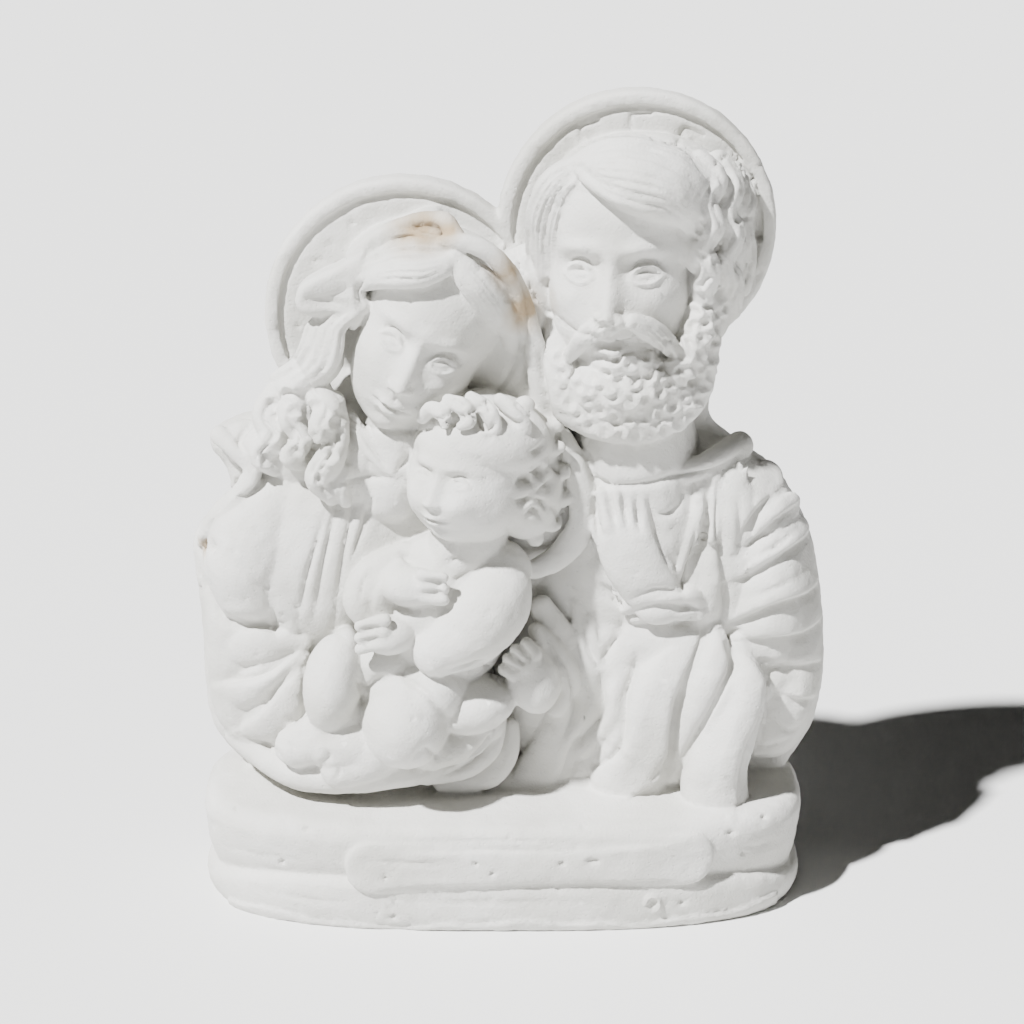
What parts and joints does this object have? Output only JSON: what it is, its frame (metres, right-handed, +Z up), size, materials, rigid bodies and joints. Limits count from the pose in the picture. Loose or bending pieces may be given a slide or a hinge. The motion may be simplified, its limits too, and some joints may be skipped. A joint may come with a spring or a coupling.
{
  "type": "holy family statue",
  "caption": "Small cast-plaster group in deep relief: a veiled woman with a child on her lap and a bearded man, both with disc halos, on an oblong plinth with a blank name panel.",
  "frame": {"origin": "centre of the plinth's underside, on the surface that the statue stands on", "axes": "+Z up, -Y out of the front that the figures face, +X to the viewer's right, on the bearded man's side"},
  "size_m": [0.1565, 0.0652, 0.2],
  "materials": {
    "plaster": "matt unpainted cast plaster, off-white, with small air bubbles"
  },
  "bodies": {
    "root": {"holy_family_statue": "plaster"}
  },
  "joints": []
}
